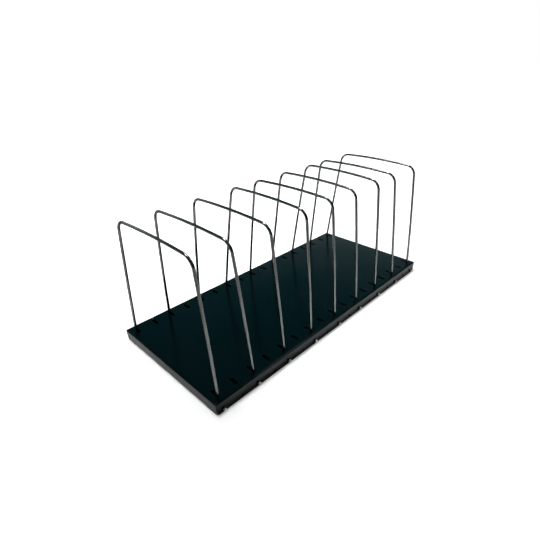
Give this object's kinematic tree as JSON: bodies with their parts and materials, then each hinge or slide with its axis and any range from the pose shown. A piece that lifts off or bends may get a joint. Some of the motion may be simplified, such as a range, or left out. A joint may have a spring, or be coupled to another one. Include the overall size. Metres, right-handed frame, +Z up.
{
  "type": "desk file organizer",
  "caption": "Folded steel desk tray with upright wire dividers that stand in slots and keep files and folders on edge.",
  "frame": {"origin": "centre of the tray on the surface that it stands on", "axes": "+X along the tray, +Y across it, +Z up; the dividers stand across the tray"},
  "size_m": [0.4263, 0.1892, 0.1744],
  "materials": {
    "black_paint": "semi-gloss black powder paint",
    "bright_wire": "satin drawn and plated wire"
  },
  "bodies": {
    "base": {"base_tray": "black_paint"},
    "divider_1": {"divider_1": "bright_wire"},
    "divider_2": {"divider_2": "bright_wire"},
    "divider_3": {"divider_3": "bright_wire"},
    "divider_4": {"divider_4": "bright_wire"},
    "divider_5": {"divider_5": "bright_wire"},
    "divider_6": {"divider_6": "bright_wire"},
    "divider_7": {"divider_7": "bright_wire"},
    "divider_8": {"divider_8": "bright_wire"},
    "divider_9": {"divider_9": "bright_wire"}
  },
  "joints": [
    {"name": "lean_1", "type": "hinge", "parent": "base", "child": "divider_1", "pos_m": [-0.2032, 0, 0.0095], "axis": [0, 1, 0], "range_deg": [-2.74, 3.66]},
    {"name": "lean_2", "type": "hinge", "parent": "base", "child": "divider_2", "pos_m": [-0.1524, 0, 0.0095], "axis": [0, 1, 0], "range_deg": [-0.64, 5.76]},
    {"name": "lean_3", "type": "hinge", "parent": "base", "child": "divider_3", "pos_m": [-0.1016, 0, 0.0095], "axis": [0, 1, 0], "range_deg": [-2.02, 4.38]},
    {"name": "lean_4", "type": "hinge", "parent": "base", "child": "divider_4", "pos_m": [-0.0508, 0, 0.0095], "axis": [0, 1, 0], "range_deg": [-5.33, 1.07]},
    {"name": "lean_5", "type": "hinge", "parent": "base", "child": "divider_5", "pos_m": [0, 0, 0.0095], "axis": [0, 1, 0], "range_deg": [-3.82, 2.58]},
    {"name": "lean_6", "type": "hinge", "parent": "base", "child": "divider_6", "pos_m": [0.0508, 0, 0.0095], "axis": [0, 1, 0], "range_deg": [-4.25, 2.15]},
    {"name": "lean_7", "type": "hinge", "parent": "base", "child": "divider_7", "pos_m": [0.1016, 0, 0.0095], "axis": [0, 1, 0], "range_deg": [-6.32, 0.08]},
    {"name": "lean_8", "type": "hinge", "parent": "base", "child": "divider_8", "pos_m": [0.1524, 0, 0.0095], "axis": [0, 1, 0], "range_deg": [-2.84, 3.56]},
    {"name": "lean_9", "type": "hinge", "parent": "base", "child": "divider_9", "pos_m": [0.2032, 0, 0.0095], "axis": [0, 1, 0], "range_deg": [-5.96, 0.44]}
  ]
}
